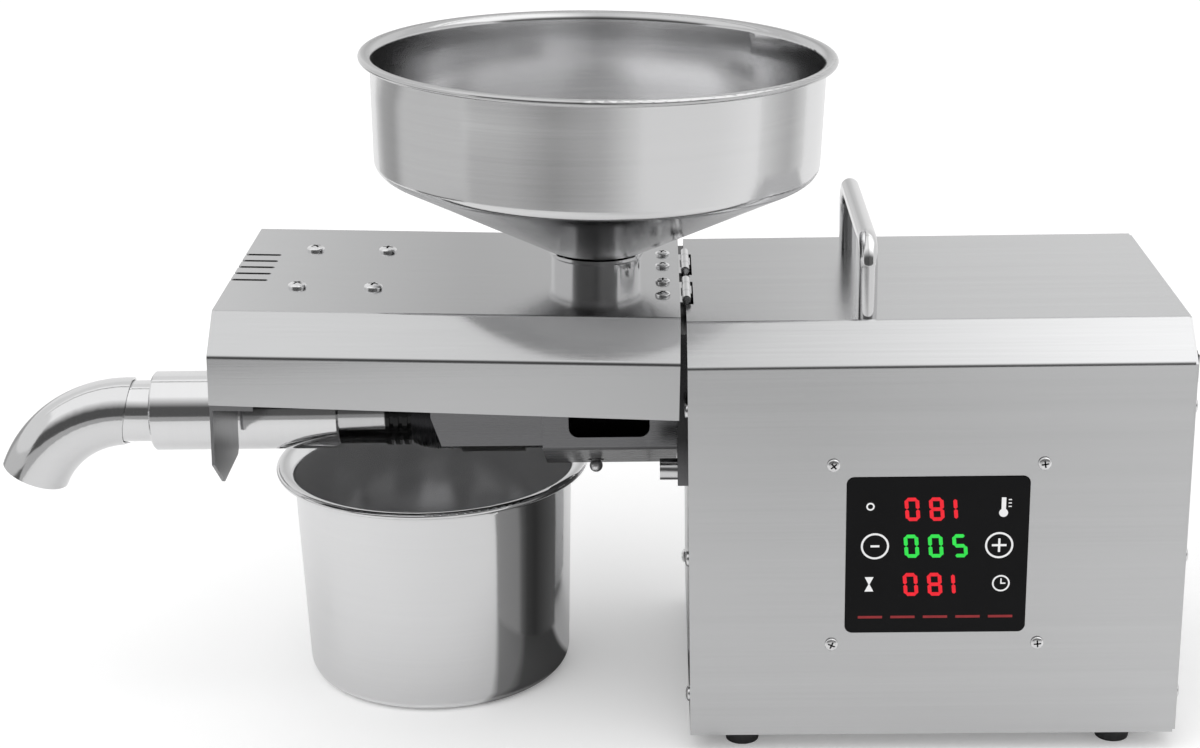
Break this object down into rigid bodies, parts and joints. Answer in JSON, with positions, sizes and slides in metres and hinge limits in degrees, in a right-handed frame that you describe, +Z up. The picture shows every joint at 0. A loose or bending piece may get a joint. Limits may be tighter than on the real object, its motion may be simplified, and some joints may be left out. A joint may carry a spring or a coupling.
{
  "type": "screw oil press",
  "caption": "Table-top screw oil press: steel motor casing with a display, hinged press head, round hopper, cake outlet elbow and oil pot.",
  "frame": {"origin": "on the floor under the middle of the part's box", "axes": "+X from the outlet elbow to the casing, along the press axis; +Y from the display to the back; +Z up"},
  "size_m": [0.4786, 0.188, 0.2708],
  "materials": {
    "casing_steel": "brushed stainless sheet",
    "cover_steel": "brushed stainless sheet, a little darker",
    "polished_steel": "polished stainless",
    "sleeve_steel": "turned and polished",
    "trough_steel": "plain folded sheet",
    "dark_steel": "dark turned steel",
    "screw_steel": "bright steel",
    "bolt_steel": "blackened steel",
    "drive_steel": "machined steel",
    "plate_steel": "cut plate",
    "motor_iron": "painted ribbed can",
    "heater_steel": "heat-tinted sheet",
    "bush_bronze": "plain bronze",
    "contact_brass": "nickelled brass",
    "panel_gloss": "black gloss",
    "digit_lens": "tinted lens",
    "board_green": "circuit board",
    "black_plastic": "moulded, fine grain",
    "rocker_black": "moulded, smooth",
    "foot_rubber": "black rubber"
  },
  "bodies": {
    "press": {"base_plate": "casing_steel", "board_standoffs": "black_plastic", "carry_handle": "polished_steel", "casing_left_end": "casing_steel", "casing_right_end": "casing_steel", "casing_screws": "screw_steel", "casing_wrap": "casing_steel", "control_board": "board_green", "display_board": "board_green", "display_frame": "black_plastic", "display_panel": "panel_gloss", "drip_trough": "trough_steel", "fan_frame": "black_plastic", "flange_bolts": "bolt_steel", "flange_plate": "casing_steel", "foot_screws": "screw_steel", "gearbox_bearings": "drive_steel", "gearbox_front_plate": "plate_steel", "gearbox_rear_plate": "plate_steel", "gearbox_spacers": "drive_steel", "handle_screws": "screw_steel", "heater_band": "heater_steel", "hinge_fixed_leaves": "screw_steel", "hinge_pins": "screw_steel", "inlet_pins": "contact_brass", "led_digits": "digit_lens", "lock_pin": "screw_steel", "motor_body": "motor_iron", "oil_cage": "dark_steel", "outlet_sleeve": "sleeve_steel", "panel_screws": "screw_steel", "power_inlet": "black_plastic", "press_chamber": "dark_steel", "rubber_feet": "foot_rubber", "splash_guards": "trough_steel", "switch_bodies": "black_plastic", "temperature_probe": "drive_steel", "worm_bush": "bush_bronze"},
    "cover": {"cover_shell": "cover_steel", "cover_end_plate": "cover_steel", "cover_screws": "screw_steel", "rest_saddle": "trough_steel", "hinge_cover_leaves": "screw_steel", "hinge_screws": "screw_steel", "hopper_collar": "polished_steel"},
    "hopper": {"hopper_bowl": "polished_steel"},
    "elbow": {"outlet_elbow": "polished_steel"},
    "pot": {"oil_pot": "polished_steel"},
    "worm_drive": {"press_worm": "drive_steel", "output_shaft": "drive_steel", "output_gear": "drive_steel"},
    "idler": {"idler_shaft": "drive_steel", "idler_gear": "drive_steel", "idler_pinion": "drive_steel"},
    "motor_rotor": {"motor_shaft": "drive_steel", "motor_pinion": "drive_steel", "motor_armature": "motor_iron"},
    "fan": {"fan_rotor": "black_plastic"},
    "motor_switch": {"motor_rocker": "rocker_black"},
    "power_switch": {"power_rocker": "rocker_black"}
  },
  "joints": [
    {"name": "cover_hinge", "type": "hinge", "parent": "press", "child": "cover", "pos_m": [0.04567, 0, 0.1764], "axis": [0, 1, 0], "range_deg": [0, 15]},
    {"name": "hopper_lift", "type": "slide", "parent": "cover", "child": "hopper", "axis": [0.0297, 0, 0.9996], "range_m": [0, 0.08]},
    {"name": "elbow_turn", "type": "hinge", "parent": "press", "child": "elbow", "pos_m": [-0.18493, 0, 0.1206], "axis": [1, 0, 0], "range_deg": [-90, 90]},
    {"name": "pot_slide", "type": "slide", "parent": "press", "child": "pot", "axis": [0, -1, 0], "range_m": [0, 0.25]},
    {"name": "worm_spin", "type": "hinge", "parent": "press", "child": "worm_drive", "pos_m": [0.04537, 0, 0.1206], "axis": [1, 0, 0], "continuous": true},
    {"name": "idler_spin", "type": "hinge", "parent": "press", "child": "idler", "pos_m": [0.04537, 0.01944, 0.0903], "axis": [1, 0, 0], "continuous": true},
    {"name": "motor_spin", "type": "hinge", "parent": "press", "child": "motor_rotor", "pos_m": [0.04537, 0, 0.06], "axis": [1, 0, 0], "continuous": true},
    {"name": "fan_spin", "type": "hinge", "parent": "press", "child": "fan", "pos_m": [0.22037, 0, 0.08], "axis": [1, 0, 0], "continuous": true},
    {"name": "motor_switch_rock", "type": "hinge", "parent": "press", "child": "motor_switch", "pos_m": [0.23617, -0.055, 0.155], "axis": [0, 0, -1], "range_deg": [0, 16]},
    {"name": "power_switch_rock", "type": "hinge", "parent": "press", "child": "power_switch", "pos_m": [0.23617, -0.029, 0.155], "axis": [0, 0, -1], "range_deg": [0, 16]}
  ],
  "couplings": [
    {"joint": "idler_spin", "follows": "worm_spin", "ratio": -3},
    {"joint": "motor_spin", "follows": "worm_spin", "ratio": 9}
  ]
}
